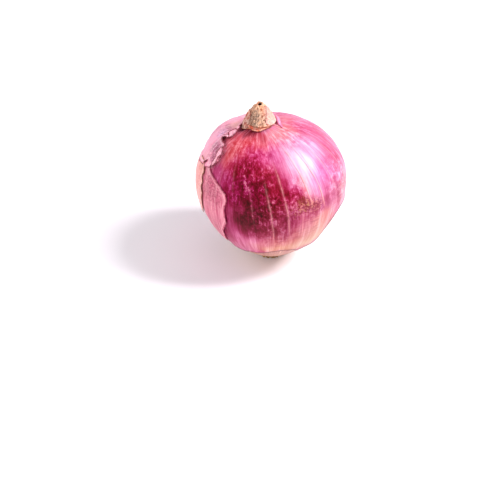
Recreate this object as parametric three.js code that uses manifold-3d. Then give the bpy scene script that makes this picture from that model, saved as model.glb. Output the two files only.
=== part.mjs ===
// A whole red onion, standing on its root plate: a plump bulb in its dry skins,
// with the dried neck on top and the trimmed roots underneath.
// Millimetres, +Z up. The origin is the middle of the flat spot it stands on.
// Longitude 0 faces -Y and grows towards +X; the polar angle is 0 at the neck.
import * as THREE from "three";
import { mergeVertices } from "three/addons/utils/BufferGeometryUtils.js";
import Module from "manifold-3d";

const wasm = await Module();
wasm.setup();

const rad = THREE.MathUtils.degToRad;
const { lerp, smoothstep } = THREE.MathUtils;

// ---- Driving dimensions ----

// The bulb is round about the vertical; its neck sits off centre.
const BULB_RADIUS = 36.6; // at its widest level
const CROWN_RISE = 30.6; // from the widest level up to the crown
const KEEL_DEPTH = 46; // from the widest level down to where the taper would close
const CROWN_TAPER = 1; // power of the upper outline: 1 is an ellipse, less is squarer
const KEEL_TAPER = 1.58; // the same for the lower outline, where more is more pointed
const NECK_LEAN = rad(9.5); // the neck's angle off the vertical, towards -X
const NECK_BACK = rad(2.5); // the same, towards +Y
const LOBE_SHARE = 0.005; // how far the gentle lobes of the bulb depart from round
const UNDERSIDE_RADIUS = 8.5; // the bulb's own flat, over the root plate

// The root plate, the true stem of the plant, with its trimmed roots.
const ROOT_PLATE_RADIUS = 7.2;
const ROOT_PLATE_THICKNESS = 1.6;
const ROOT_COUNT = 15;
const ROOT_LENGTH = 2.1;
const ROOT_RADIUS = 0.5;

// The dry skins, each a sheet that follows the bulb.
const FIT_GAP = 0.3; // between a piece and the one it lies on
const SKIN_THICKNESS = 0.4;
const PAPER_THICKNESS = 0.35;
const FLAKE_THICKNESS = 0.35;
const TATTER_THICKNESS = 0.5;
const PAPER_CURL = 1.1; // how far the torn edge of the loose paper skin stands up

// The dried neck: the twisted tops of the skins, cut off short.
const NECK_BASE_RADIUS = 8.6;
const NECK_TIP_RADIUS = 2.1;
const NECK_HEIGHT = 11.2; // above the skin that it stands on
const NECK_SHIFT = 1; // its axis stands this far from the crown, towards +X
const NECK_PIT_RADIUS = 0.9;
const NECK_PIT_DEPTH = 2.5;
const NECK_FOLDS = 7;
const NECK_FOLD_SHARE = 0.06;

// Fineness of the bulb's surface, shared by all that lies on it.
const BULB_COLUMNS = 48;
const BULB_ROWS = 24;

// ---- Sizes that follow ----

const UNDERSIDE_Z = ROOT_PLATE_THICKNESS + FIT_GAP;
const FOOT_ANGLE = Math.PI - Math.asin((UNDERSIDE_RADIUS / BULB_RADIUS) ** (1 / KEEL_TAPER));
const WIDEST_Z = UNDERSIDE_Z - KEEL_DEPTH * Math.cos(FOOT_ANGLE);

const SKIN_LIFT = FIT_GAP;
const ON_SKIN_LIFT = SKIN_LIFT + SKIN_THICKNESS + FIT_GAP;
const ON_PAPER_LIFT = ON_SKIN_LIFT + PAPER_THICKNESS + FIT_GAP;
const CUT_REACH = 8; // how far the cutters stand out past the bulb
// The polar angle that the neck's base reaches on its far side.
const NECK_REACH = NECK_BASE_RADIUS + NECK_SHIFT;
const NECK_BASE_ANGLE = Math.asin((NECK_REACH / BULB_RADIUS) ** (1 / CROWN_TAPER));

const X_AXIS = new THREE.Vector3(1, 0, 0);
const Y_AXIS = new THREE.Vector3(0, 1, 0);

// ---- The bulb's surface ----

// A point at a lift above the bulb, along the surface's normal. The skin's
// meridians run from the leaning neck to the upright foot, so the lean fades out.
function bulbPoint(longitude, polar, lift = 0) {
  const leanShare = (1 + Math.cos(Math.PI * Math.min(polar / FOOT_ANGLE, 1))) / 2;
  const direction = new THREE.Vector3(
    Math.sin(polar) * Math.sin(longitude),
    -Math.sin(polar) * Math.cos(longitude),
    Math.cos(polar),
  );
  direction.applyAxisAngle(Y_AXIS, -NECK_LEAN * leanShare);
  direction.applyAxisAngle(X_AXIS, -NECK_BACK * leanShare);

  // The outline is radius = R sin^taper, height = C cos, down from the crown.
  const across = Math.hypot(direction.x, direction.y);
  const upper = direction.z >= 0;
  const depth = upper ? CROWN_RISE : KEEL_DEPTH;
  const taper = upper ? CROWN_TAPER : KEEL_TAPER;
  const lobes = 1 + LOBE_SHARE * Math.sin(polar) ** 2 * Math.cos(3 * longitude + 0.6);
  const radius = BULB_RADIUS * across ** taper * lobes;
  const normalOut = depth * across;
  const normalUp = BULB_RADIUS * taper * Math.max(across, 1e-6) ** (taper - 1) * direction.z;
  const normalLength = Math.hypot(normalOut, normalUp);
  const outward = (radius + (lift * normalOut) / normalLength) / Math.max(across, 1e-6);
  return new THREE.Vector3(
    direction.x * outward,
    direction.y * outward,
    WIDEST_Z + depth * direction.z + (lift * normalUp) / normalLength,
  );
}

// ---- Shared tools ----

// A copy of a geometry with each of its points moved by a function, and its
// seams closed.
function reshaped(geometry, move) {
  const source = geometry.index ? geometry.toNonIndexed() : geometry;
  const position = source.getAttribute("position");
  const point = new THREE.Vector3();
  for (let i = 0; i < position.count; i++) {
    const moved = move(point.fromBufferAttribute(position, i));
    position.setXYZ(i, moved.x, moved.y, moved.z);
  }
  source.deleteAttribute("normal");
  source.deleteAttribute("uv");
  const closed = mergeVertices(source, 1e-3);
  closed.computeVertexNormals();
  return closed;
}

function toSolid(geometry) {
  return new wasm.Manifold(
    new wasm.Mesh({
      numProp: 3,
      vertProperties: new Float32Array(geometry.getAttribute("position").array),
      triVerts: new Uint32Array(geometry.index.array),
    }),
  );
}

function toGeometry(solid) {
  const mesh = solid.getMesh();
  const geometry = new THREE.BufferGeometry();
  geometry.setAttribute("position", new THREE.BufferAttribute(mesh.vertProperties, 3));
  geometry.setIndex(new THREE.BufferAttribute(mesh.triVerts, 1));
  geometry.computeVertexNormals();
  return geometry;
}

// The edge of a torn skin wanders: a few waves that don't repeat together.
function ragged(x, phase) {
  return (
    0.5 * Math.sin(5.1 * x + phase) +
    0.3 * Math.sin(11.7 * x + 2.3 * phase) +
    0.2 * Math.sin(23.9 * x + 4.1 * phase)
  );
}

// A value read from a short list of [where, value] pairs, smoothed between them.
function along(stops, x) {
  const next = stops.findIndex(([where]) => where >= x);
  if (next === 0) return stops[0][1];
  if (next < 0) return stops.at(-1)[1];
  const [[x0, value0], [x1, value1]] = [stops[next - 1], stops[next]];
  return lerp(value0, value1, smoothstep(x, x0, x1));
}

// The whole bulb at a lift, closed by a flat underside. extraAt(longitude, polar)
// adds to the lift.
function bulbGeometry(lift = 0, extraAt = () => 0) {
  const lastRing = Math.PI * (1 - 1 / BULB_ROWS);
  return reshaped(new THREE.SphereGeometry(1, BULB_COLUMNS, BULB_ROWS), (p) => {
    const down = Math.acos(THREE.MathUtils.clamp(p.y, -1, 1));
    if (down > lastRing + 1e-3) return new THREE.Vector3(0, 0, UNDERSIDE_Z);
    const longitude = Math.hypot(p.x, p.z) > 1e-6 ? Math.atan2(p.x, p.z) : 0;
    const polar = (down / lastRing) * FOOT_ANGLE;
    const point = bulbPoint(longitude, polar, lift + extraAt(longitude, polar));
    if (down > lastRing - 1e-3) point.z = UNDERSIDE_Z;
    return point;
  });
}

// A sheet of one thickness all over the bulb.
function sheet(lift, thickness, extraAt) {
  const outer = toSolid(bulbGeometry(lift + thickness, extraAt));
  return outer.subtract(toSolid(bulbGeometry(lift, extraAt)));
}

// A wedge from the middle of the bulb out through part of its surface, to cut a
// sheet with. place(u, v) gives [longitude, polar] for u across and v down, both
// from 0 to 1.
function wedge(place, columns, rows) {
  const middle = new THREE.Vector3(0, 0, WIDEST_Z);
  return toSolid(
    reshaped(new THREE.BoxGeometry(1, 1, 1, columns, rows, 1), (p) => {
      const outer = bulbPoint(...place(p.x + 0.5, 0.5 - p.y), CUT_REACH);
      return p.z > 0 ? outer : outer.lerp(middle, 0.9);
    }),
  );
}

// All that lies below an edge running right round the bulb, to cut a sheet with.
function below(edgeAt, columns) {
  const profile = [
    [0, 3],
    [1, 2],
    [1, 1],
    [0, 1],
  ].map(([radius, height]) => new THREE.Vector2(radius, height));
  profile.reverse();
  return toSolid(
    reshaped(new THREE.LatheGeometry(profile, columns), (p) => {
      if (Math.hypot(p.x, p.z) < 0.5) {
        return new THREE.Vector3(0, 0, p.y > 2 ? WIDEST_Z : -CUT_REACH);
      }
      const longitude = Math.atan2(p.x, p.z);
      const point = bulbPoint(longitude, edgeAt(longitude), CUT_REACH);
      if (p.y < 1.5) point.z = -CUT_REACH;
      return point;
    }),
  );
}

// ---- The pieces ----

// The main skin covers the crown, under the neck, and stops short of the roots,
// with a stretch on the +X side torn back further.
const SKIN_BOTTOM_STOPS = [
  [-180, 130],
  [-60, 132],
  [10, 126],
  [34, 130],
  [50, 127],
  [56, 106],
  [66, 102],
  [115, 100],
  [140, 126],
  [180, 130],
].map(([longitude, polar]) => [rad(longitude), rad(polar)]);

function outerSkin() {
  const edgeAt = (longitude) =>
    along(SKIN_BOTTOM_STOPS, longitude) + rad(1.6) * ragged(2 * Math.sin(longitude), 1);
  return toGeometry(sheet(SKIN_LIFT, SKIN_THICKNESS).subtract(below(edgeAt, 96)));
}

// The loose paper skin over the -X side. Its free edge runs down from the neck,
// turns at a notch and then crosses towards the front.
const PAPER_TOP_ANGLE = NECK_BASE_ANGLE + rad(2.5);
const PAPER_BOTTOM_ANGLE = rad(122);
const PAPER_BACK_LONGITUDE = rad(-165);
const PAPER_CURL_WIDTH = rad(16);
const PAPER_CURL_ANGLES = [rad(42), rad(54)]; // over these the curl lies down again
const PAPER_EDGE_STOPS = [
  [16, -66],
  [27, -62],
  [36, -57],
  [45, -52.5],
  [52, -54],
  [59, -58.5],
  [64, -49],
  [83, -22],
  [100, -18],
  [122, -28],
].map(([polar, longitude]) => [rad(polar), rad(longitude)]);

function paperSkin() {
  const freeAt = (polar) => along(PAPER_EDGE_STOPS, polar) + rad(1.2) * ragged(3 * polar, 5);
  const curlAt = (longitude, polar) => {
    const free = freeAt(polar);
    const height = PAPER_CURL * (0.6 + 0.4 * ragged(2 * polar, 7));
    const standing = 1 - smoothstep(polar, ...PAPER_CURL_ANGLES);
    return height * standing * smoothstep(longitude, free - PAPER_CURL_WIDTH, free);
  };
  const place = (u, v) => {
    const polar = lerp(PAPER_TOP_ANGLE, PAPER_BOTTOM_ANGLE, v) + rad(3) * v * ragged(2 * u, 3);
    const back = PAPER_BACK_LONGITUDE + rad(5) * ragged(polar, 2);
    return [lerp(back, freeAt(polar), u), polar];
  };
  const paper = sheet(ON_SKIN_LIFT, PAPER_THICKNESS, curlAt);
  return toGeometry(paper.intersect(wedge(place, 24, 40)));
}

// A smaller flake that still lies on the paper skin.
const FLAKE_LONGITUDES = [rad(-122), rad(-65)];
const FLAKE_ANGLES = [rad(56), rad(108)];

function paperFlake() {
  const middle = (FLAKE_LONGITUDES[0] + FLAKE_LONGITUDES[1]) / 2;
  const halfWidth = (FLAKE_LONGITUDES[1] - FLAKE_LONGITUDES[0]) / 2;
  const place = (u, v) => {
    const narrowing = 1 - 0.35 * (2 * v - 1) ** 4;
    const longitude = middle + halfWidth * narrowing * (2 * u - 1) + rad(1.5) * ragged(2 * v, 4);
    return [longitude, lerp(...FLAKE_ANGLES, v) + rad(1.5) * ragged(2 * u, 6)];
  };
  return toGeometry(sheet(ON_PAPER_LIFT, FLAKE_THICKNESS).intersect(wedge(place, 12, 16)));
}

// A tatter of skin left beside the neck on the +X side.
const TATTER_LONGITUDES = [rad(66), rad(120)];
const TATTER_WIDTH = rad(5);

function skinTatter() {
  const top = NECK_BASE_ANGLE + rad(1.8);
  const place = (u, v) => [
    lerp(...TATTER_LONGITUDES, u),
    top + v * TATTER_WIDTH * (0.5 + 0.5 * Math.sin(Math.PI * u)),
  ];
  return toGeometry(sheet(ON_SKIN_LIFT, TATTER_THICKNESS).intersect(wedge(place, 10, 3)));
}

// The neck: a folded cone, cut to sit on the skin, with the small pit that is
// left where its leaves dried away.
function neck() {
  const crown = bulbPoint(0, 0, ON_SKIN_LIFT);
  const outline = [
    [0, NECK_HEIGHT - NECK_PIT_DEPTH],
    [NECK_PIT_RADIUS * 0.7, NECK_HEIGHT - NECK_PIT_DEPTH],
    [NECK_PIT_RADIUS, NECK_HEIGHT - 0.3],
    [(NECK_PIT_RADIUS + NECK_TIP_RADIUS) / 2, NECK_HEIGHT],
    [NECK_TIP_RADIUS, NECK_HEIGHT - 0.6],
    [lerp(NECK_TIP_RADIUS, NECK_BASE_RADIUS, 0.3), NECK_HEIGHT * 0.74],
    [lerp(NECK_TIP_RADIUS, NECK_BASE_RADIUS, 0.72), NECK_HEIGHT * 0.4],
    [lerp(NECK_TIP_RADIUS, NECK_BASE_RADIUS, 0.95), NECK_HEIGHT * 0.14],
    [NECK_BASE_RADIUS, -NECK_HEIGHT * 0.04],
    [NECK_BASE_RADIUS, -NECK_BASE_RADIUS],
    [0, -NECK_BASE_RADIUS],
  ];
  const profile = outline.map(([radius, height]) => new THREE.Vector2(radius, height)).reverse();
  const cone = reshaped(new THREE.LatheGeometry(profile, 4 * NECK_FOLDS), (p) => {
    const turn = Math.atan2(p.x, p.z);
    const fold = 1 + NECK_FOLD_SHARE * Math.cos(NECK_FOLDS * turn + 0.12 * p.y);
    const x = crown.x + NECK_SHIFT + p.x * fold;
    return new THREE.Vector3(x, crown.y - p.z * fold, crown.z + p.y);
  });
  return toGeometry(toSolid(cone).subtract(toSolid(bulbGeometry(ON_SKIN_LIFT))));
}

// The root plate with its root stubs, which grew as one with it. The stubs
// leave its rim just above the ground.
function rootPlate() {
  const profile = [
    [0, 0],
    [ROOT_PLATE_RADIUS - 0.4, 0],
    [ROOT_PLATE_RADIUS, 0.4],
    [ROOT_PLATE_RADIUS - 0.3, ROOT_PLATE_THICKNESS],
    [0, ROOT_PLATE_THICKNESS],
  ].map(([radius, height]) => new THREE.Vector2(radius, height));
  const disc = reshaped(
    new THREE.LatheGeometry(profile, 32),
    (p) => new THREE.Vector3(p.x, -p.z, p.y),
  );
  const stub = new THREE.Shape();
  stub.absarc(0, 0, ROOT_RADIUS, 0, 2 * Math.PI, false);
  let plate = toSolid(disc);
  const high = ROOT_PLATE_THICKNESS - ROOT_RADIUS - 0.15;
  const low = ROOT_RADIUS + 0.2;
  for (let i = 0; i < ROOT_COUNT; i++) {
    const turn = ((i + 0.3 * ragged(i, 1)) / ROOT_COUNT) * 2 * Math.PI;
    const length = ROOT_LENGTH * (0.75 + 0.25 * ragged(i * 1.7, 2));
    const at = (radius, height, sway) =>
      new THREE.Vector3(
        radius * Math.sin(turn + sway),
        -radius * Math.cos(turn + sway),
        height,
      );
    const route = new THREE.CatmullRomCurve3([
      at(ROOT_PLATE_RADIUS - 1.5, high, 0),
      at(ROOT_PLATE_RADIUS + 0.4 * length, high, 0.04),
      at(ROOT_PLATE_RADIUS + length, low, 0.14),
    ]);
    const tube = new THREE.ExtrudeGeometry(stub, {
      steps: 4,
      curveSegments: 6,
      bevelEnabled: false,
      extrudePath: route,
    });
    plate = plate.add(toSolid(reshaped(tube, (p) => p)));
  }
  return toGeometry(plate);
}

// ---- Assembly ----

function material(color, roughness) {
  return new THREE.MeshStandardMaterial({ color, roughness, metalness: 0 });
}

const fleshSkin = material(0xcf8a8c, 0.45);
const redSkin = material(0xa83464, 0.35);
const pinkPaper = material(0xd98aa6, 0.6);
const tanPaper = material(0xc79a78, 0.75);
const driedNeck = material(0xc08a5c, 0.85);
const driedRoot = material(0xa98252, 0.9);

const onion = new THREE.Group();
for (const [name, geometry, finish] of [
  ["bulb", bulbGeometry(), fleshSkin],
  ["outer_skin", outerSkin(), redSkin],
  ["paper_skin", paperSkin(), pinkPaper],
  ["paper_flake", paperFlake(), tanPaper],
  ["skin_tatter", skinTatter(), pinkPaper],
  ["neck", neck(), driedNeck],
  ["root_plate", rootPlate(), driedRoot],
]) {
  const mesh = new THREE.Mesh(geometry, finish);
  mesh.name = name;
  onion.add(mesh);
}

export default onion;
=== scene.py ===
"""The looks of a whole red onion: its torn dry skins, dried neck and trimmed roots.

The onion is shaped in millimetres, in the frame of the CAD model, and its meshes are
written in metres. A place on it is a longitude (0 faces -Y, growing towards +X) and a
polar angle (0 at the neck), both in degrees, with a lift above the bulb.
"""

import bpy
import numpy as np
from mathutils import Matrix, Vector, geometry, kdtree, noise


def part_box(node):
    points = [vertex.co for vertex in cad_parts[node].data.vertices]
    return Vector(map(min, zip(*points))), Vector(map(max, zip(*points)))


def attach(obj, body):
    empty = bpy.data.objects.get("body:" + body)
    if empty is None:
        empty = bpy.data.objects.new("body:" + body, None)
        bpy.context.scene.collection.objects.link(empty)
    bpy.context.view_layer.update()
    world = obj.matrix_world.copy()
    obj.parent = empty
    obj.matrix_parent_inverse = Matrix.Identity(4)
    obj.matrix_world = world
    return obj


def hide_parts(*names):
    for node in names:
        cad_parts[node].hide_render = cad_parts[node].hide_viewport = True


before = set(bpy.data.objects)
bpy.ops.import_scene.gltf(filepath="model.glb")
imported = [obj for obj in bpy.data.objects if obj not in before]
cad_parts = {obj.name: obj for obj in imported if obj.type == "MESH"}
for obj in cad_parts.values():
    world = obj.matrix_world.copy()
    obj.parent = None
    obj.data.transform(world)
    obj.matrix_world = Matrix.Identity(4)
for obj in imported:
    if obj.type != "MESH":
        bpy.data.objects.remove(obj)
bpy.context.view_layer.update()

MM = 0.001

# ---- The bulb's outline, as the CAD model has it ----

BULB_RADIUS = 36.6
CROWN_RISE = 30.6
KEEL_DEPTH = 46
CROWN_TAPER = 1
KEEL_TAPER = 1.58
NECK_LEAN = np.radians(9.5)
NECK_BACK = np.radians(2.5)
UNDERSIDE_RADIUS = 8.5
ROOT_PLATE_RADIUS = 7.2
UNDERSIDE_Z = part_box("bulb")[0].z / MM
NECK_TOP_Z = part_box("neck")[1].z / MM
FOOT_ANGLE = np.pi - np.arcsin((UNDERSIDE_RADIUS / BULB_RADIUS) ** (1 / KEEL_TAPER))
WIDEST_Z = UNDERSIDE_Z - KEEL_DEPTH * np.cos(FOOT_ANGLE)

# How high each layer lies above the bulb.
SKIN_LIFT = 0.3
PAPER_LIFT = 1.0
UPPER_PAPER_LIFT = 1.3
FLAKE_LIFT = 1.5

# How thick the skins are, and how they thin out towards their torn edges.
SKIN_THICKNESS = 0.4
SKIN_RIM = 0.3
PAPER_THICKNESS = 0.25
PAPER_RIM = 0.12
RIM_WIDTH = 1.2


# ---- Small tools ----


def smoothstep(value, low, high):
    share = np.clip((np.asarray(value, float) - low) / (high - low), 0, 1)
    return share * share * (3 - 2 * share)


def grain(points, size, octaves=3):
    """Smooth noise, about -1 to 1, with features of a size, at each point."""
    return np.array([noise.fractal(Vector(p) / size, 1.0, 2.0, octaves) for p in points])


def wander(count, step, seed):
    """A wandering line of that many values, about -1 to 1, for a torn edge."""
    return grain([(i * step, seed * 7.3, seed * 3.1) for i in range(count)], 1.0, 4)


def paint(code):
    """The linear colour of an sRGB code such as "#a0305c"."""
    srgb = np.array([int(code[i : i + 2], 16) for i in (1, 3, 5)]) / 255
    return np.where(srgb <= 0.04045, srgb / 12.92, ((srgb + 0.055) / 1.055) ** 2.4)


def around(longitude, polar):
    """Coordinates for noise that runs along the bulb without a seam."""
    lon = np.radians(longitude)
    return np.stack([np.sin(lon), np.cos(lon), np.radians(polar)], axis=-1)


# ---- The bulb's surface ----


def swell(longitude, polar):
    """The bulb's broad, shallow facets between its ribs, in mm."""
    lon = np.radians(longitude)
    fade = np.sin(np.clip(np.radians(polar), 0, np.pi)) ** 2
    waves = 0.10 * np.cos(9 * lon + 0.7) + 0.08 * np.cos(14 * lon + 2.1) + 0.05 * np.cos(23 * lon)
    return fade * waves


def on_bulb(longitude, polar, lift):
    """Points in mm at a lift above the bulb, along the surface's normal."""
    longitude, polar, lift = np.broadcast_arrays(longitude, polar, lift)
    lon = np.radians(longitude)
    pol = np.radians(polar)
    share = (1 + np.cos(np.pi * np.minimum(pol / FOOT_ANGLE, 1))) / 2
    x = np.sin(pol) * np.sin(lon)
    y = -np.sin(pol) * np.cos(lon)
    z = np.cos(pol)
    lean = -NECK_LEAN * share
    x, z = x * np.cos(lean) + z * np.sin(lean), z * np.cos(lean) - x * np.sin(lean)
    back = -NECK_BACK * share
    y, z = y * np.cos(back) - z * np.sin(back), y * np.sin(back) + z * np.cos(back)
    across = np.maximum(np.hypot(x, y), 1e-6)
    depth = np.where(z >= 0, CROWN_RISE, KEEL_DEPTH)
    taper = np.where(z >= 0, CROWN_TAPER, KEEL_TAPER)
    lobes = 1 + 0.005 * np.sin(pol) ** 2 * np.cos(3 * lon + 0.6)
    radius = BULB_RADIUS * across**taper * lobes
    normal_out = depth * across
    normal_up = BULB_RADIUS * taper * across ** (taper - 1) * z
    length = np.hypot(normal_out, normal_up)
    height = lift + swell(longitude, polar)
    outward = (radius + height * normal_out / length) / across
    up = WIDEST_Z + depth * z + height * normal_up / length
    return np.stack([x * outward, y * outward, up], axis=-1)


# ---- Meshes ----


def make_mesh(name, points, faces, attributes=(), corner_attributes=()):
    """A smooth mesh from points in mm. attributes are per point, (name, values);
    corner_attributes are per corner of the faces."""
    mesh = bpy.data.meshes.new(name)
    mesh.from_pydata([tuple(p) for p in np.asarray(points) * MM], [], [tuple(f) for f in faces])
    mesh.validate()
    mesh.update()
    mesh.polygons.foreach_set("use_smooth", np.ones(len(mesh.polygons), bool))
    for domain, layers in (("POINT", attributes), ("CORNER", corner_attributes)):
        for layer, values in layers:
            values = np.asarray(values, np.float32)
            if values.ndim == 1:
                made = mesh.attributes.new(layer, "FLOAT", domain)
                made.data.foreach_set("value", values)
            else:
                made = mesh.attributes.new(layer, "FLOAT_VECTOR", domain)
                made.data.foreach_set("vector", values.ravel())
    piece = bpy.data.objects.new(name, mesh)
    bpy.context.scene.collection.objects.link(piece)
    return piece


def place_piece(piece, material, node):
    """Gives a piece its material and its place in the frame."""
    piece.data.materials.append(material)
    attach(piece, "root")
    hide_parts(node)


def torn(corners, step=0.5):
    """A closed outline through corners (longitude, polar, raggedness), where the
    raggedness is that of the edge from the corner to the next."""
    outline = []
    for i, (corner, following) in enumerate(zip(corners, corners[1:] + corners[:1])):
        start, end = np.array(corner[:2], float), np.array(following[:2], float)
        count = max(1, int(np.ceil(np.linalg.norm(end - start) / step)))
        share = np.arange(count) / count
        side = np.array([start[1] - end[1], end[0] - start[0]])
        side /= max(np.linalg.norm(side), 1e-9)
        sway = corner[2] * wander(count, 0.45, i + 1) * np.sin(np.pi * share) ** 0.4
        outline.append(start + share[:, None] * (end - start) + sway[:, None] * side)
    return np.concatenate(outline)


def inside(points, outline):
    """Which points lie inside a closed outline."""
    found = np.zeros(len(points), bool)
    x, y = points[:, 0], points[:, 1]
    for (x0, y0), (x1, y1) in zip(outline, np.roll(outline, -1, axis=0)):
        if y0 == y1:
            continue
        crosses = (y0 > y) != (y1 > y)
        found ^= crosses & (x < (x1 - x0) * (y - y0) / (y1 - y0) + x0)
    return found


def triangulate(outline, spacing):
    """Points and triangles that fill an outline, in its own two coordinates."""
    low, high = outline.min(0), outline.max(0)
    across = np.arange(low[0] + spacing[0] / 2, high[0], spacing[0])
    down = np.arange(low[1] + spacing[1] / 2, high[1], spacing[1])
    grid = np.stack(np.meshgrid(across, down), axis=-1)
    grid[1::2, :, 0] += spacing[0] / 2
    grid = grid.reshape(-1, 2)
    grid = grid[inside(grid, outline)]
    tree = kdtree.KDTree(len(outline))
    for i, point in enumerate(outline):
        tree.insert((point[0], point[1], 0), i)
    tree.balance()
    clear = 0.55 * min(spacing)
    grid = np.array([p for p in grid if tree.find((p[0], p[1], 0))[2] > clear])
    points = [Vector(p) for p in np.concatenate([outline, grid])]
    border = [list(range(len(outline)))]
    made = geometry.delaunay_2d_cdt(points, [], border, 1, 1e-6)
    return np.array([tuple(p) for p in made[0]]), np.array(made[2])


def edge_distance(points, rim):
    """How far each point lies from the nearest rim point, in mm."""
    tree = kdtree.KDTree(len(rim))
    for i, point in enumerate(rim):
        tree.insert(point, i)
    tree.balance()
    return np.array([tree.find(p)[2] for p in points])


def on_side(places, longitude):
    """Which places lie on a longitude."""
    return np.abs(places[:, 0] - longitude) < 1e-3


def border_edges(places, triangles, open_sides):
    """The edges of only one triangle, apart from those that lie on an open side."""
    edges = np.concatenate([triangles[:, [0, 1]], triangles[:, [1, 2]], triangles[:, [2, 0]]])
    keys = np.sort(edges, axis=1)
    first, times = np.unique(keys, axis=0, return_index=True, return_counts=True)[1:]
    border = edges[first[times == 1]]
    at_side = np.zeros(len(places), bool)
    for longitude in open_sides:
        at_side |= on_side(places, longitude)
    return border[~(at_side[border[:, 0]] & at_side[border[:, 1]])]


def sheet_faces(triangles, border, count):
    """Triangles for a sheet's outside, its inside, whose points are numbered count
    later, and the walls between them along its border."""
    start, end = border.T
    walls = np.concatenate(
        [
            np.stack([end, start, start + count], axis=1),
            np.stack([end, start + count, end + count], axis=1),
        ]
    )
    return np.concatenate([triangles, triangles[:, ::-1] + count, walls])


def sheet(
    name, outline, spacing, surface, lift_at,
    thickness=PAPER_THICKNESS, rim_thickness=PAPER_RIM, open_sides=(),
):
    """A closed thin sheet that fills an outline on a surface.

    lift_at(places, distance) gives each place's lift, where distance is how far it
    lies from the torn edge. open_sides are longitudes where two sides meet, which
    count as no edge."""
    places, triangles = triangulate(outline, spacing)
    flat = surface(places[:, 0], places[:, 1], 0.0)
    torn_rim = outline
    for longitude in open_sides:
        torn_rim = torn_rim[~on_side(torn_rim, longitude)]
    distance = edge_distance(flat, surface(torn_rim[:, 0], torn_rim[:, 1], 0.0))
    lift = lift_at(places, distance)
    body = rim_thickness + (thickness - rim_thickness) * smoothstep(distance, 0, RIM_WIDTH)
    outer = surface(places[:, 0], places[:, 1], lift + body)
    inner = surface(places[:, 0], places[:, 1], lift)
    faces = sheet_faces(triangles, border_edges(places, triangles, open_sides), len(places))
    # The triangles all face the same way, and are turned over if that is inwards.
    sides = outer[triangles]
    turned = np.cross(sides[:, 1] - sides[:, 0], sides[:, 2] - sides[:, 0])
    middle = np.array([0, 0, WIDEST_Z])
    if (turned * (sides.mean(1) - middle)).sum() < 0:
        faces = faces[:, ::-1]
    # Points that share a place, where two open sides meet, become one.
    points = np.concatenate([outer, inner])
    every_place = np.concatenate([places, places])
    every_distance = np.concatenate([distance, distance])
    kept, merged = np.unique(np.round(points, 4), axis=0, return_index=True, return_inverse=True)[1:]
    return {
        "name": name,
        "points": points[kept],
        "faces": merged.ravel()[faces],
        "places": every_place[kept],
        "distance": every_distance[kept],
        "corner_places": every_place[faces].reshape(-1, 2),
    }


# ---- Colours laid over a surface ----


def dab_weight(places, longitude, polar, wide, tall):
    """How much a soft dab centred on a place covers each place."""
    turn = (places[:, 0] - longitude + 180) % 360 - 180
    reach = (turn / wide) ** 2 + ((places[:, 1] - polar) / tall) ** 2
    return np.exp(-(reach**1.5))


def warped(places, size, reach, seed):
    """Places pushed about by noise, so that a dab's border wanders."""
    base = around(places[:, 0], places[:, 1]) + seed
    return places + reach * np.stack([grain(base, size, 4), grain(base + 5.7, size, 4)], axis=1)


def dabbed(places, ground, dabs):
    """A colour for each place: the ground, with each dab stained into it in turn."""
    stain = np.tile(np.log(paint(ground) + 0.001), (len(places), 1))
    for longitude, polar, wide, tall, code, strength in dabs:
        share = strength * dab_weight(places, longitude, polar, wide, tall)[:, None]
        stain = stain * (1 - share) + np.log(paint(code) + 0.001) * share
    return np.exp(stain)


def masked(places, dabs):
    """A mask for each place, 0 to 1, from dabs without colour."""
    cover = np.zeros(len(places))
    for longitude, polar, wide, tall, strength in dabs:
        cover = np.maximum(cover, strength * dab_weight(places, longitude, polar, wide, tall))
    return cover


# ---- Shader nodes ----


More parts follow.
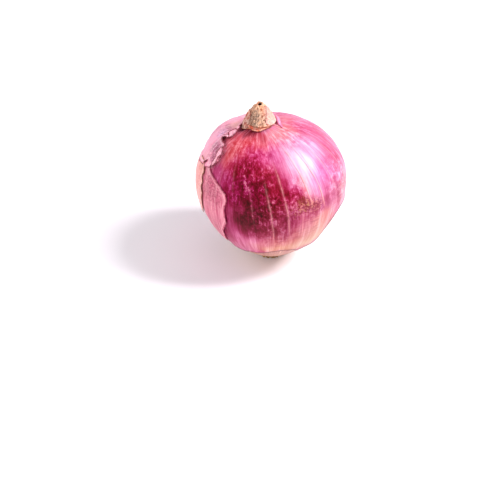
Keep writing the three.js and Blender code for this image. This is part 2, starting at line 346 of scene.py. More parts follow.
class Shader:
    """Adds nodes to a material made on the Principled shader."""

    def __init__(self, name, roughness, specular):
        self.material = bpy.data.materials.new(name)
        self.material.use_nodes = True
        self.tree = self.material.node_tree
        self.surface = self.tree.nodes["Principled BSDF"]
        self.surface.inputs["Roughness"].default_value = roughness
        self.surface.inputs["Specular IOR Level"].default_value = specular

    def put(self, socket, value):
        """Links a node's output to a socket, or sets the socket to a value or colour."""
        if isinstance(value, bpy.types.NodeSocket):
            self.tree.links.new(value, socket)
        elif isinstance(value, str):
            socket.default_value = (*paint(value), 1.0)
        else:
            socket.default_value = value

    def add(self, kind, *values, **settings):
        node = self.tree.nodes.new("ShaderNode" + kind)
        for setting, value in settings.items():
            setattr(node, setting, value)
        for socket, value in zip(node.inputs, values):
            self.put(socket, value)
        return node

    def attribute(self, name, output="Fac"):
        return self.add("Attribute", attribute_name=name).outputs[output]

    def maths(self, operation, *values):
        return self.add("Math", *values, operation=operation).outputs[0]

    def total(self, *terms):
        result = terms[0]
        for term in terms[1:]:
            result = self.maths("ADD", result, term)
        return result

    def times(self, value, factor):
        return self.maths("MULTIPLY", value, factor)

    def away(self, value, middle):
        """How far a value lies from a middle one, on either side."""
        return self.maths("ABSOLUTE", self.maths("SUBTRACT", value, middle))

    def step(self, value, low, high, from_value=0.0, to_value=1.0):
        """A smooth step of a value from one limit to another."""
        limits = (low, high, from_value, to_value)
        made = self.add("MapRange", value, *limits, interpolation_type="SMOOTHSTEP")
        return made.outputs[0]

    def mix(self, share, first, second):
        """The first colour, with a share of the second. A colour may be an sRGB code."""
        node = self.add("Mix", data_type="RGBA")
        self.put(node.inputs["Factor"], share)
        self.put(node.inputs[6], first)
        self.put(node.inputs[7], second)
        return node.outputs[2]

    def noise(self, vector, stretch, detail=3.0, roughness=0.55, distortion=0.0):
        """Noise, about 0 to 1, on a vector stretched by three scales."""
        scaled = self.add("VectorMath", vector, stretch, operation="MULTIPLY").outputs[0]
        made = self.add("TexNoise")
        self.put(made.inputs["Vector"], scaled)
        made.inputs["Scale"].default_value = 1.0
        made.inputs["Detail"].default_value = detail
        made.inputs["Roughness"].default_value = roughness
        made.inputs["Distortion"].default_value = distortion
        return made.outputs["Fac"]

    def swing(self, noise, reach, middle=0.0):
        """Noise spread to about reach above and below a middle value."""
        return self.add("MapRange", noise, 0.25, 0.75, middle - reach, middle + reach).outputs[0]

    def pigment(self, colour, thickness):
        """A colour as a thicker or thinner layer of it looks, where 1 is unchanged."""
        return self.add("Gamma", colour, thickness).outputs[0]

    def bump(self, height, strength, distance):
        made = self.add("Bump", strength, distance)
        self.put(made.inputs["Height"], height)
        self.tree.links.new(made.outputs[0], self.surface.inputs["Normal"])

    def finish(self, colour, roughness=None):
        self.put(self.surface.inputs["Base Color"], colour)
        if roughness is not None:
            self.put(self.surface.inputs["Roughness"], roughness)
        return self.material


# ---- Ribs: the veins that run from neck to root ----

# How far the ribs drift sideways on their way down, in degrees per degree.
RIB_DRIFT = 0.08
# Each is a longitude, how strongly it shows, and the polar angles that it shows between.
RIBS = [
    (-176, 0.6, 40, 120), (-160, 0.4, 30, 110), (-146, 0.7, 45, 125), (-131, 0.5, 35, 100),
    (-118, 0.6, 50, 120), (-103, 0.3, 40, 110), (-89, 0.6, 35, 120), (-74, 0.4, 50, 110),
    (-60, 0.3, 50, 100), (-47, 0.12, 45, 90), (-33, 0.12, 40, 70), (-18, 0.12, 60, 95),
    (-4.5, 0.4, 60, 120), (8, 0.42, 44, 112), (19, 0.35, 84, 110), (28, 1.0, 32, 86),
    (39, 0.9, 34, 92), (55, 0.5, 36, 84), (64, 0.4, 72, 100), (73, 0.3, 30, 96),
    (84, 0.4, 40, 100), (95, 0.3, 35, 98), (108, 0.6, 40, 100), (124, 0.4, 30, 110),
    (137, 0.7, 45, 120), (152, 0.4, 35, 105), (167, 0.5, 50, 125),
]


def rib_layers(piece):
    """Per corner: the count of ribs passed, the mm from one rib to the next, and how
    strongly the nearest rib shows."""
    longitude, polar = piece["corner_places"].T
    along = longitude - RIB_DRIFT * (polar - 30)
    shows = np.array([RIBS[-1]] + RIBS + [RIBS[0]], float)
    ribs = shows[:, 0].copy()
    ribs[0] -= 360
    ribs[-1] += 360
    passed = np.interp(along, ribs, np.arange(len(ribs)))
    gap = np.diff(ribs)[np.clip(np.searchsorted(ribs, along) - 1, 0, len(ribs) - 2)]
    radius = BULB_RADIUS * np.sin(np.radians(np.clip(polar, 5, 175))) ** 1.1
    nearest = shows[np.round(passed).astype(int)]
    fade = smoothstep(polar, nearest[:, 2] - 6, nearest[:, 2] + 18)
    fade *= smoothstep(polar, nearest[:, 3] + 6, nearest[:, 3] - 14)
    return [
        ("ribs_passed", passed),
        ("rib_gap", gap * np.radians(1) * radius),
        ("rib_shows", nearest[:, 1] * fade),
    ]


def rib_distance(shader):
    """The distance in mm to the nearest rib, negative on one side of it."""
    passed = shader.attribute("ribs_passed")
    beyond = shader.maths("SUBTRACT", passed, shader.maths("ROUND", passed))
    return shader.times(beyond, shader.attribute("rib_gap"))


def draw_ribs(shader, colour, wobble):
    """Lays a pale line in a soft halo along each rib, with a red-brown one beside it."""
    place = shader.attribute("around", "Vector")
    patchy = shader.step(shader.noise(place, (7, 7, 9), 3, 0.6), 0.4, 0.6, 0.45, 1.0)
    shows = shader.times(shader.attribute("rib_shows"), patchy)
    off = shader.total(rib_distance(shader), wobble)
    gap = shader.maths("ABSOLUTE", off)
    halo = shader.times(shader.step(gap, 1.1, 0.1, 0, 0.45), shows)
    colour = shader.mix(halo, colour, "#f0a8b0")
    beside = shader.maths("ABSOLUTE", shader.total(off, 0.42))
    line = shader.times(shader.step(beside, 0.3, 0.05, 0, 0.6), shows)
    colour = shader.mix(line, colour, "#a82c48")
    core = shader.times(shader.step(gap, 0.3, 0.06, 0, 0.85), shows)
    return shader.mix(core, colour, "#fca8a4"), gap


# ---- The main skin ----

SKIN_OUTLINE = [
    (-180, 6, 0), (180, 6, 0), (180, 131, 1.2), (140, 127, 1.4), (118, 103, 1.2),
    (90, 101, 1.0), (68, 101.5, 0.6), (60, 105, 0.5), (53.5, 109, 0.5), (49.5, 117, 0.5),
    (51, 125, 0.3), (43, 124.5, 0.4), (35, 125, 0.5), (28, 127, 0.3), (22, 123.5, 0.4),
    (13, 122, 0.5), (0, 123, 0.6), (-10, 126, 1.4),
    (-60, 133, 1.6), (-110, 128, 1.5), (-150, 133, 1.2), (-180, 131, 0),
]

# Colours laid on the skin: longitude, polar angle, half width, half height, colour, strength.
SKIN_GROUND = "#cc7094"
SKIN_DABS = [
    # Rose round the neck, salmon and brown towards -X, with painted shade, dark to nearly black, in
    # the hollow just below the neck's foot.
    (60, 20, 75, 9, "#d88088", 0.9),
    (-35, 27, 42, 14, "#cc5460", 0.95),
    (-10, 17, 22, 5, "#a83848", 0.8),
    (-30, 13.5, 26, 4, "#7c1c2c", 0.9),
    (-84, 13, 24, 4, "#30080c", 0.95),
    # Dusty salmon beside the loose paper's edge.
    (-46, 42, 12, 12, "#c45058", 0.9),
    # Magenta shoulder and the pink that frames it.
    (-8, 36, 18, 8, "#b83468", 0.95),
    (13, 40, 9, 13, "#c45c8c", 0.85),
    # Wine over the front.
    (-22, 50, 17, 9, "#8c0830", 0.92),
    (-4, 56, 10, 10, "#a0203c", 0.85),
    (-14, 70, 29, 14, "#78002a", 0.97),
    (7, 69, 13, 14, "#880828", 0.92),
    # Partly painted shade: the darkest wine, low on the front, also stands for the shade of a half
    # onion that lay beside the bulb.
    (-14, 92, 20, 14, "#5c0018", 0.95),
    (9, 85, 20, 11, "#8c1838", 0.92),
    (27, 80, 8, 8, "#982c44", 0.85),
    # Violet mauve beside the torn edge.
    (-48, 61, 9, 12, "#a83060", 0.85),
    # Dusky mauve low on the front.
    (6, 101, 18, 8, "#a03c54", 0.9),
    (21, 95, 13, 10, "#982c54", 0.85),
    # Paler towards +X, and rosier at the limb. The palest dabs, round where the key light gleams, are
    # partly painted highlight.
    (38, 50, 17, 22, "#dcb8d0", 0.95),
    (52, 66, 13, 14, "#cc74a8", 0.8),
    (60, 42, 14, 14, "#d49cc0", 0.8),
    (88, 42, 15, 24, "#c85c84", 0.85),
    (32, 68, 6, 10, "#e4a4ac", 0.75),
    (50, 89, 17, 13, "#b05878", 0.85),
    (78, 90, 12, 14, "#d49ca8", 0.8),
    # Tan and cream towards the root.
    (42, 104, 22, 9, "#d08c88", 0.9),
    (14, 111, 24, 6, "#cc7c78", 0.9),
    (8, 119, 24, 6, "#d09078", 0.95),
    (38, 116, 22, 10, "#dcb8a0", 0.95),
    (-90, 118, 60, 14, "#b05868", 0.7),
    (140, 116, 70, 14, "#c87c80", 0.8),
    # Darker round the back and low towards -X.
    (170, 55, 40, 26, "#ac2c5c", 0.7),
    (-150, 75, 40, 26, "#8c1848", 0.8),
    (128, 74, 22, 26, "#9c2450", 0.7),
    (-50, 98, 26, 20, "#80143c", 0.85),
]

# Where each kind of marking shows: longitude, polar angle, half width, half height, strength.
WINE_DABS = [
    (-15, 58, 26, 26, 1.0), (0, 84, 26, 22, 1.0), (22, 76, 12, 16, 0.9), (30, 88, 14, 10, 0.8),
    (-150, 70, 45, 30, 0.8), (135, 70, 30, 30, 0.7), (-80, 95, 40, 20, 0.6),
]
CLOUD_DABS = [
    (-20, 32, 50, 12, 0.9), (60, 28, 60, 12, 0.7), (70, 80, 22, 20, 0.9), (150, 40, 60, 20, 0.7),
]
# Where painted shade lies in streaks just below the neck's foot.
NECK_FOOT_SHADE_DABS = [
    (-48, 16, 18, 4, 1.0), (-20, 14, 14, 3, 0.8), (12, 13, 16, 2.5, 0.6), (-110, 15, 30, 5, 0.6),
]
STRIA_DABS = [
    (2, 106, 14, 9, 1.0), (30, 102, 14, 9, 0.9), (62, 92, 14, 12, 0.6), (120, 90, 40, 16, 0.6),
    (-150, 100, 60, 18, 0.6),
]
OLIVE_DABS = [
    (30, 85, 9, 10, 0.75), (38, 82, 6, 6, 0.6), (22, 91, 6, 6, 0.4), (70, 88, 9, 8, 0.5),
    (-140, 88, 14, 10, 0.7), (160, 92, 9, 8, 0.6),
]


def skin_pigment(shader, broad, fine, fleck):
    """The skin's own colour. The pigment lies thicker and thinner: in streaks from neck
    to root, in cloudy blotches, and in dark blotches and pale flecks where the skin is
    wine-coloured."""
    place = shader.attribute("around", "Vector")
    wine = shader.attribute("wine")
    drift = shader.noise(place, (9, 9, 11), 5, 0.62, 0.6)
    blotch = shader.noise(place, (11, 11, 9), 5, 0.66, 0.5)
    clouds = shader.times(shader.attribute("cloud"), shader.swing(drift, 0.9))
    spots = shader.total(shader.swing(blotch, 0.9, 0.2), shader.swing(fleck, 0.8))
    streaks = shader.total(shader.swing(broad, 0.42, 1.02), shader.swing(fine, 0.24))
    thickness = shader.total(streaks, clouds, shader.times(wine, spots))
    tint = shader.attribute("tint", "Color")
    colour = shader.pigment(tint, shader.maths("MAXIMUM", thickness, 0.58))
    worn = shader.times(wine, shader.step(thickness, 0.7, 0.2, 0, 0.55))
    return shader.mix(worn, colour, "#d88890")


def speckle(shader, colour):
    """Brown and tan speckles in the olive patches."""
    olive = shader.attribute("olive")
    speck = shader.noise(shader.attribute("around", "Vector"), (34, 34, 30), 4, 0.7, 0.4)
    brown = shader.times(olive, shader.step(speck, 0.46, 0.56, 0, 0.95))
    colour = shader.mix(brown, colour, "#6c3028")
    tan = shader.times(olive, shader.step(speck, 0.5, 0.4, 0, 0.75))
    return shader.mix(tan, colour, "#cc946c")


def draw_stripes(shader, fine, colour):
    """Streaks of painted shade just below the neck's foot, and short stripes across the ribs."""
    # Painted shade in streaks just below the neck's foot.
    neck_foot_shade = shader.times(shader.attribute("neck_foot_shade"), shader.step(fine, 0.46, 0.6, 0.1, 0.95))
    colour = shader.mix(neck_foot_shade, colour, "#581420")
    stripe = shader.noise(shader.attribute("around", "Vector"), (6, 6, 70), 3, 0.5, 0.3)
    bars = shader.times(shader.attribute("stria"), shader.step(stripe, 0.52, 0.62, 0, 0.45))
    return shader.mix(bars, colour, "#841c40")


def skin_material():
    shader = Shader("red_onion_skin", 0.36, specular=0.1)
    place = shader.attribute("around", "Vector")
    broad = shader.noise(place, (11, 11, 2.2), 4, 0.6)
    fine = shader.noise(place, (70, 70, 3.0), 3)
    fleck = shader.noise(place, (28, 28, 20), 4, 0.64, 0.7)
    colour = skin_pigment(shader, broad, fine, fleck)
    colour = speckle(shader, colour)
    colour = draw_stripes(shader, fine, colour)
    wobble = shader.maths("SUBTRACT", shader.noise(place, (9, 9, 5)), 0.5)
    colour, gap = draw_ribs(shader, colour, wobble)
    # The torn lower edge is dark: partly its dry edge, partly painted shade beneath its flared lip.
    rim = shader.step(shader.attribute("edge"), 1.0, 0.3, 0, 0.85)
    colour = shader.mix(rim, colour, "#6c2830")
    grooves = shader.total(shader.times(fine, 0.4), shader.times(broad, 0.7))
    ridges = shader.step(gap, 0.5, 0.05, 0, 0.25)
    shader.bump(shader.total(grooves, ridges, shader.times(fleck, 0.2)), 0.6, 0.0004)
    return shader.finish(colour, shader.step(fleck, 0.3, 0.7, 0.3, 0.44))


def main_skin():
    """The red skin over most of the bulb, whose torn lower edge flares a little."""

    def lift_at(places, distance):
        return SKIN_LIFT + 0.45 * np.exp(-((distance / 1.1) ** 2))

    made = sheet(
        "outer_skin", torn(SKIN_OUTLINE), (1.25, 1.25), on_bulb, lift_at,
        SKIN_THICKNESS, SKIN_RIM, open_sides=(-180, 180),
    )
    pushed = warped(made["places"], 0.3, 6.0, 3.0)
    layers = [
        ("around", around(*made["places"].T)),
        ("tint", dabbed(pushed, SKIN_GROUND, SKIN_DABS)),
        ("wine", masked(pushed, WINE_DABS)),
        ("cloud", masked(pushed, CLOUD_DABS)),
        ("stria", masked(made["places"], STRIA_DABS)),
        ("olive", masked(pushed, OLIVE_DABS)),
        ("neck_foot_shade", masked(made["places"], NECK_FOOT_SHADE_DABS)),
        ("edge", made["distance"]),
    ]
    piece = make_mesh(made["name"], made["points"], made["faces"], layers, rib_layers(made))
    place_piece(piece, skin_material(), "outer_skin")


# ---- The bulb under its skins ----


def inner_skin_material():
    shader = Shader("onion_inner_skin", 0.42, specular=0.45)
    place = shader.attribute("around", "Vector")
    broad = shader.noise(place, (9, 9, 1.6), 3)
    fine = shader.noise(place, (70, 70, 2.5), 2)
    colour = shader.mix(shader.step(broad, 0.35, 0.7), "#a86464", "#c08074")
    colour = shader.mix(shader.step(fine, 0.42, 0.7, 0, 0.5), colour, "#f6d6c0")
    low = shader.step(shader.attribute("polar"), 128, 150)
    colour = shader.mix(low, colour, "#cc9c80")
    gap = shader.maths("ABSOLUTE", rib_distance(shader))
    colour = shader.mix(shader.step(gap, 0.4, 0.08, 0, 0.5), colour, "#b86450")
    height = shader.total(shader.times(fine, 0.5), shader.step(gap, 0.5, 0.05, 0, 0.3))
    shader.bump(height, 0.4, 0.0004)
    return shader.finish(colour)


def bulb_faces(longitude, polar):
    """The bulb's faces, and each corner's place, from its rows of points, its crown
    and the middle of its foot, in that order."""
    columns = len(longitude)
    crown = len(polar) * columns
    foot = crown + 1
    last = crown - columns
    step = 360 / columns
    faces = []
    corner_places = []
    for row in range(len(polar) - 1):
        for column in range(columns):
            a, b = row * columns + column, row * columns + (column + 1) % columns
            faces.append((a, a + columns, b + columns, b))
            lon = longitude[column]
            corner_places += [(lon, polar[row]), (lon, polar[row + 1])]
            corner_places += [(lon + step, polar[row + 1]), (lon + step, polar[row])]
    for column in range(columns):
        after = (column + 1) % columns
        lon = longitude[column]
        faces.append((column, after, crown))
        corner_places += [(lon, polar[0]), (lon + step, polar[0]), (lon, 0)]
        faces.append((last + after, last + column, foot))
        corner_places += [(lon + step, polar[-1]), (lon, polar[-1]), (lon, polar[-1])]
    return faces, np.array(corner_places)


def bulb_body():
    """The whole bulb, closed at its crown and at its flat foot."""
    columns, rows = 240, 130
    longitude = np.linspace(-180, 180, columns, endpoint=False)
    polar = np.degrees(FOOT_ANGLE) * np.arange(1, rows + 1) / rows
    places = np.stack(np.meshgrid(longitude, polar), axis=-1).reshape(-1, 2)
    points = on_bulb(places[:, 0], places[:, 1], 0.0)
    points[-columns:, 2] = UNDERSIDE_Z
    points = np.concatenate([points, [on_bulb(0.0, 0.0, 0.0), (0, 0, UNDERSIDE_Z)]])
    places = np.concatenate([places, [(0, 0), (0, polar[-1])]])
    faces, corner_places = bulb_faces(longitude, polar)
    layers = [("around", around(*places.T)), ("polar", places[:, 1])]
    corners = rib_layers({"corner_places": corner_places})
    piece = make_mesh("bulb", points, faces, layers, corners)
    place_piece(piece, inner_skin_material(), "bulb")


# ---- The loose paper skins over the -X side ----

UPPER_PAPER_OUTLINE = [
    (-168, 14, 0.6), (-130, 13, 0.8), (-104, 12.5, 0.6), (-88, 14.5, 0.3), (-72, 15.5, 0.3),
    (-64, 18, 0.5), (-60, 21, 0.4), (-59, 26, 0.5), (-62, 28.5, 0.3), (-69, 29.5, 0.3),
    (-74, 32, 0.2), (-66, 33.5, 0.4), (-59, 34, 0.5), (-56, 38, 0.6), (-51.5, 41, 0.6),
    (-53.5, 46, 0.6), (-52, 49, 0.4), (-54.5, 53.5, 0.3), (-57, 58, 0.2), (-59, 55.5, 0.2),
    (-58, 51, 0.2), (-61, 58.5, 0.3), (-64.5, 59.5, 0.3), (-67.5, 61, 0.4), (-69, 54.5, 0.2),
    (-71, 60.5, 0.4), (-84, 63, 0.8), (-104, 58, 1.2), (-122, 66, 1.4), (-140, 60, 1.4),
    (-154, 66, 1.2), (-163, 50, 1.2), (-156, 34, 1.2), (-166, 24, 0.8),
]
# A narrow strip of the same paper that has curled back over its free edge.
PAPER_CURL_OUTLINE = [
    (-60.5, 36, 0.3), (-56, 38.5, 0.5), (-52, 42, 0.6), (-54, 47, 0.5), (-54, 52, 0.4),
    (-57, 56.5, 0.3), (-60.5, 53, 0.5), (-59, 47.5, 0.5), (-60.5, 42, 0.5),
]
# A small tongue of it, folded over below the neck.
PAPER_TONGUE_OUTLINE = [
    (-76, 19, 0.3), (-66, 18.5, 0.4), (-59, 21.5, 0.5), (-57.5, 26, 0.4), (-63, 28.5, 0.4),
    (-72, 27, 0.5), (-79, 25, 0.4),
]
# The strips of the upper paper: name, outline, lift above it and colour.
FOLDED_STRIPS = [
    ("paper_skin_curl", PAPER_CURL_OUTLINE, 0.75, "#f090a8"),
    ("paper_skin_tongue", PAPER_TONGUE_OUTLINE, 0.6, "#e47c98"),
]
FOLDED_THICKNESS = 0.2
LOWER_PAPER_OUTLINE = [
    (-160, 52, 0.0), (-110, 50, 0.0), (-70, 52, 0.0), (-62, 57, 0.1), (-57, 61, 0.2),
    (-49, 64, 0.2), (-42, 68, 0.2), (-36, 73, 0.3), (-34, 79, 0.5), (-37, 88, 0.8),
    (-36, 98, 0.8), (-43, 108, 0.8), (-46, 120, 1.2), (-75, 124, 1.6), (-104, 116, 1.4),
    (-128, 122, 1.6), (-150, 114, 1.6), (-158, 98, 1.4), (-151, 84, 1.4), (-159, 68, 1.2),
]
FLAKE_OUTLINE = [
    (-116, 72, 0.6), (-104, 66, 0.5), (-90, 60, 0.5), (-80, 57, 0.3), (-72.5, 57.5, 0.4),
    (-68, 62, 0.6), (-65, 66, 0.5), (-67.5, 69.5, 0.5), (-64, 74, 0.6), (-65.5, 79, 0.6),
    (-62, 84, 0.6), (-64.5, 92, 0.8), (-70, 104, 0.8), (-92, 108, 0.9), (-114, 104, 0.9),
    (-121, 86, 0.9),
]


def paper_material(name, codes, roughness):
    """Dry skin: fine lines from neck to root, stains, folds darkened with painted shade, and a broken
    dark edge of painted shade with a pale line of painted highlight beside it. The colour codes are
    for its ground, streaks, stains and edge."""
    ground, streak, stain, edge = codes
    shader = Shader(name, roughness, specular=0.3)
    place = shader.attribute("around", "Vector")
    tint = shader.attribute("tint", "Color")
    creased = shader.attribute("crease")
    distance = shader.attribute("edge")
    broad = shader.noise(place, (14, 14, 2.4), 4, 0.6)
    fine = shader.noise(place, (95, 95, 3.4), 3, 0.6)
    cloud = shader.noise(place, (8, 8, 9), 5, 0.65, 0.5)
    crease = shader.noise(place, (16, 16, 30), 3, 0.55, 0.8)
    colour = shader.mix(shader.step(broad, 0.35, 0.7, 0, 0.6), tint, ground)
    colour = shader.mix(shader.step(fine, 0.44, 0.66, 0, 0.65), colour, streak)
    colour = shader.mix(shader.step(fine, 0.43, 0.26, 0, 0.55), colour, stain)
    colour = shader.mix(shader.step(cloud, 0.56, 0.72, 0, 0.55), colour, stain)
    fold = shader.away(crease, 0.5)
    # Painted shade along the creases.
    crease_shade = shader.times(creased, shader.step(fold, 0.045, 0.008, 0, 0.85))
    colour = shader.mix(crease_shade, colour, edge)
    # Painted shade: a broken dark line along the curled torn edge.
    broken = shader.step(shader.noise(place, (22, 22, 22), 2), 0.34, 0.52, 0.45, 1.0)
    rim = shader.times(shader.step(distance, 0.7, 0.25), broken)
    colour = shader.mix(rim, colour, edge)
    # A pale line of painted highlight, where the curled edge catches the light, runs beside the dark
    # edge.
    edge_highlight = shader.step(shader.away(distance, 1.3), 0.5, 0.05, 0, 0.5)
    colour = shader.mix(edge_highlight, colour, streak)
    lines = shader.total(shader.times(fine, 0.8), shader.times(broad, 0.9))
    folds = shader.times(creased, shader.step(fold, 0.09, 0.0, 0, -1.2))
    shader.bump(shader.total(lines, shader.times(cloud, 0.8), folds), 0.6, 0.0005)
    return shader.finish(colour, shader.step(cloud, 0.3, 0.7, roughness - 0.08, roughness + 0.1))


def place_paper(made, material, node, ground, dabs=(), creased=()):
    """Gives a sheet of paper skin its colours, its material and its place."""
    pushed = warped(made["places"], 0.35, 4.0, 8.0)
    layers = [
        ("around", around(*made["places"].T)),
        ("tint", dabbed(pushed, ground, dabs)),
        ("crease", masked(made["places"], creased)),
        ("edge", made["distance"]),
    ]
    piece = make_mesh(made["name"], made["points"], made["faces"], layers)
    place_piece(piece, material, node)


def curl(places, distance, height, width, seed):
    """How far a torn edge stands up, more in some places than in others."""
    unevenness = 0.55 + 0.65 * grain(around(*places.T) + seed, 0.16, 2)
    return height * np.clip(unevenness, 0.1, 1.3) * np.exp(-((distance / width) ** 2))


def upper_paper():
    """The loose paper below the neck, which bulges off the bulb and curls at its front."""

    def lift_at(places, distance):
        front = smoothstep(places[:, 0], -100, -75)
        along = around(*places.T)
        ripple = 0.16 * grain(along * (1, 1, 0.35), 0.12, 3) + 0.1 * grain(along + 4, 0.09, 3)
        loose = 1.3 * dab_weight(places, -108, 38, 34, 15)
        return UPPER_PAPER_LIFT + loose + ripple + curl(places, distance, 1.3 * front + 0.3, 1.6, 2.0)

    outline = torn(UPPER_PAPER_OUTLINE, 0.4)
    made = sheet("paper_skin_upper", outline, (1.0, 0.9), on_bulb, lift_at)
    dabs = [
        # Maroon painted shade near the curled free edge, and painted shade in a fold below the neck.
        (-71, 41, 8, 6, "#984068", 0.9),
        (-64, 50, 4, 5, "#b4587c", 0.7),
        (-72, 31, 8, 3, "#8c2c40", 0.85),
        (-92, 26, 14, 2.5, "#a04860", 0.7),
        (-66, 20, 10, 4, "#c46c8c", 0.7),
        # Salmon beside the neck, lilac below it, and pink lower down.
        (-96, 20, 18, 5, "#e8a890", 0.8),
        (-86, 34, 10, 6, "#dca8dc", 0.8),
        (-100, 45, 20, 20, "#e098b8", 0.5),
        (-78, 57, 8, 4, "#e0a0a4", 0.6),
    ]
    creased = [(-66, 42, 12, 12, 1.0), (-80, 28, 24, 8, 0.8), (-130, 40, 30, 20, 0.5)]
    codes = ("#ffa4bc", "#ffd8e0", "#d06484", "#7c1c2c")
    material = paper_material("pink_paper_skin", codes, 0.5)
    place_paper(made, material, "paper_skin", "#ff9cb8", dabs, creased)
    for strip in FOLDED_STRIPS:
        folded_strip(material, *strip)


def folded_strip(material, name, outline, lift, ground):
    """A strip of the upper paper that lies folded on top of it."""

    def lift_at(places, distance):
        ripple = 0.15 * grain(around(*places.T), 0.06, 2)
        return UPPER_PAPER_LIFT + lift + curl(places, distance, 0.6, 0.9, 6.0) + ripple

    made = sheet(name, torn(outline, 0.4), (0.8, 0.7), on_bulb, lift_at, FOLDED_THICKNESS)
    creased = [(-60, 40, 40, 40, 0.35)]
    place_paper(made, material, "paper_skin", ground, creased=creased)


def lower_paper():
    """The paper lower down, which lies close to the bulb."""

    def lift_at(places, distance):
        ripple = 0.1 * grain(around(*places.T) * (1, 1, 2.5), 0.3, 3)
        return PAPER_LIFT + ripple + curl(places, distance, 0.35, 0.9, 5.0)

    made = sheet("paper_skin_lower", torn(LOWER_PAPER_OUTLINE), (1.2, 1.2), on_bulb, lift_at)
    dabs = [
        (-52, 70, 10, 8, "#d4587c", 0.8),
        (-61, 62, 6, 4, "#e8b0bc", 0.8),
        (-46, 84, 10, 12, "#bc4468", 0.8),
        (-62, 92, 10, 16, "#d0687c", 0.7),
        (-48, 106, 18, 12, "#a83c5c", 0.85),
        (-70, 116, 30, 10, "#c07c78", 0.7),
    ]
    creased = [(-52, 74, 14, 18, 1.0), (-130, 90, 30, 20, 0.5)]
    codes = ("#e07c94", "#f8b4bc", "#b83c5c", "#9c2c48")
    material = paper_material("rose_paper_skin", codes, 0.45)
    place_paper(made, material, "paper_skin", "#d87088", dabs, creased)


def tan_flake():
    """The tan flake, which overlaps both papers."""

    def lift_at(places, distance):
        ripple = 0.14 * grain(around(*places.T) * (1, 1, 0.4), 0.12, 3)
        front = smoothstep(places[:, 0], -92, -78)
        return FLAKE_LIFT + ripple + curl(places, distance, 0.4 * front + 0.1, 1.1, 9.0)

    made = sheet("paper_flake", torn(FLAKE_OUTLINE, 0.4), (1.0, 1.0), on_bulb, lift_at)
    dabs = [(-75, 62, 9, 8, "#d8907c", 0.5), (-82, 90, 14, 16, "#f0a8a0", 0.6)]
    creased = [(-70, 74, 9, 30, 0.45), (-100, 80, 12, 20, 0.3)]
    codes = ("#fcaca8", "#ffd4cc", "#d07870", "#8c4c30")
    material = paper_material("tan_paper_skin", codes, 0.6)
    place_paper(made, material, "paper_flake", "#f4a0a0", dabs, creased)


# ---- The tatter beside the neck ----

TATTER_OUTLINE = [
    (124, 12.4, 0.1), (100, 11.8, 0.1), (82, 12.2, 0.1), (70, 14, 0.1), (61, 19, 0.1),
    (66, 18.6, 0.2), (76, 16.2, 0.2), (90, 15, 0.2), (106, 15, 0.3), (122, 15.4, 0.3),
]


def tatter():
    """The narrow shred whose upper end stands up against the neck."""

    def lift_at(places, distance):
        return PAPER_LIFT + 1.1 * smoothstep(places[:, 1], 17, 12.5) * smoothstep(places[:, 0], 62, 82)

    outline = torn(TATTER_OUTLINE, 0.6)
    made = sheet("skin_tatter", outline, (1.4, 0.6), on_bulb, lift_at, rim_thickness=0.08)
    codes = ("#f4a4c4", "#f8c0d8", "#e07ca8", "#d86894")
    material = paper_material("tatter_skin", codes, 0.4)
    place_paper(made, material, "skin_tatter", "#f090b4")


# ---- The dried neck ----

# The foot of the neck: turn and polar angle on the bulb.
COLLAR = [
    (-180, 12.5), (-135, 13.5), (-100, 13.6), (-75, 13.2), (-52, 12.4), (-36, 10.6),
    (-14, 10.6), (0, 10.8), (20, 10.2), (50, 10.6), (66, 10.8), (95, 10.8), (140, 11.6),
    (180, 12.5),
]
# The neck's radius in mm from its foot, 0, to its tip, 1.
NECK_PROFILE = [(0, 8.2), (0.15, 7.6), (0.4, 6.0), (0.7, 3.9), (0.9, 2.3), (1, 1.6)]
# How far the neck's axis leans over towards -X, and how far its tip stays below the CAD's.
NECK_AXIS_SHIFT = -0.4
NECK_TIP_GAP = 0.7
# The rings down into the pit, as a share of the tip's radius, a height over the tip in
# mm, and how far in they count as, where 100 is the tip and 130 the bottom.
NECK_PIT = [(0.9, 0.2, 100), (0.74, 0, 108), (0.64, -0.9, 125), (0.5, -2.4, 130)]
# Colours and wrinkled places: turn and percent up the neck, half width, half height.
NECK_DABS = [
    (-85, 25, 35, 40, "#c07c68", 0.8),
    (62, 45, 42, 55, "#ffc8c0", 0.95),
    (0, 4, 60, 14, "#e8683c", 0.8),
    (20, 95, 120, 12, "#e0a878", 0.6),
    (-20, 55, 30, 30, "#e4b080", 0.5),
]
NECK_WRINKLED = [
    (-30, 48, 46, 40, 1.0), (-90, 60, 40, 40, 0.6), (170, 40, 60, 40, 0.8), (70, 50, 30, 50, 0.3),
]
SCALES_WRINKLED = [(-44, 40, 14, 20, 0.8), (0, 10, 60, 30, 0.25), (75, 60, 40, 30, 0.4)]


